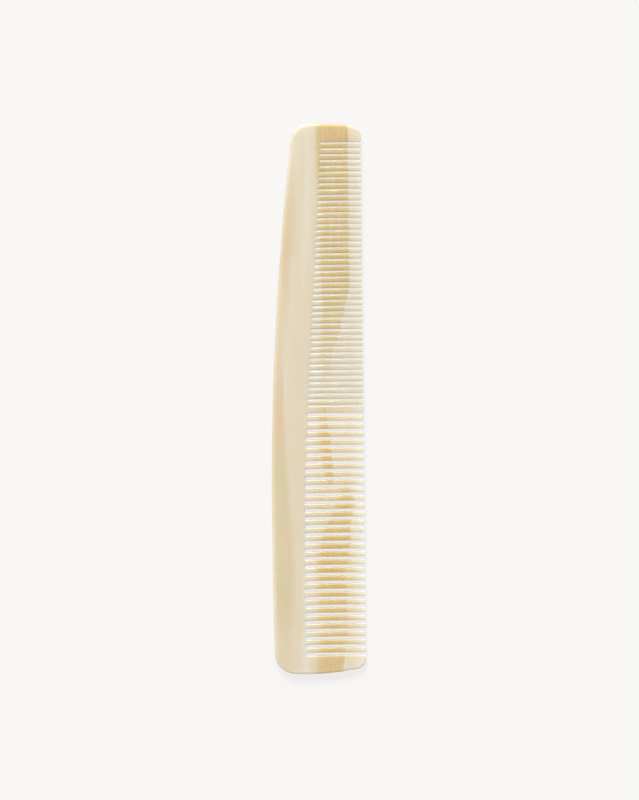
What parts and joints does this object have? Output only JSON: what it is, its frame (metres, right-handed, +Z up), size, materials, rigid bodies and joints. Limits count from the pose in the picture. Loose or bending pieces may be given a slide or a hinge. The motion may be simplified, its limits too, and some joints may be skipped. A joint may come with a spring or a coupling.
{
  "type": "hair comb",
  "caption": "Flat dressing comb of horn-coloured acetate with a curved back, fine teeth on one half, coarse teeth on the other and a solid guard at each end.",
  "frame": {"origin": "under the middle of the comb's outline, on the surface that it lies on", "axes": "+Z up through the thickness, +Y along the comb towards the fine end, +X from the back towards the tooth tips"},
  "size_m": [0.032, 0.19, 0.004],
  "materials": {
    "horn_acetate": "polished"
  },
  "bodies": {
    "root": {"spine_fine_half": "horn_acetate", "spine_coarse_half": "horn_acetate", "fine_end_guard": "horn_acetate", "coarse_end_guard": "horn_acetate", "fine_teeth_1": "horn_acetate", "fine_teeth_2": "horn_acetate", "fine_teeth_3": "horn_acetate", "fine_teeth_4": "horn_acetate", "fine_teeth_5": "horn_acetate", "coarse_teeth_1": "horn_acetate", "coarse_teeth_2": "horn_acetate", "coarse_teeth_3": "horn_acetate", "coarse_teeth_4": "horn_acetate"}
  },
  "joints": []
}
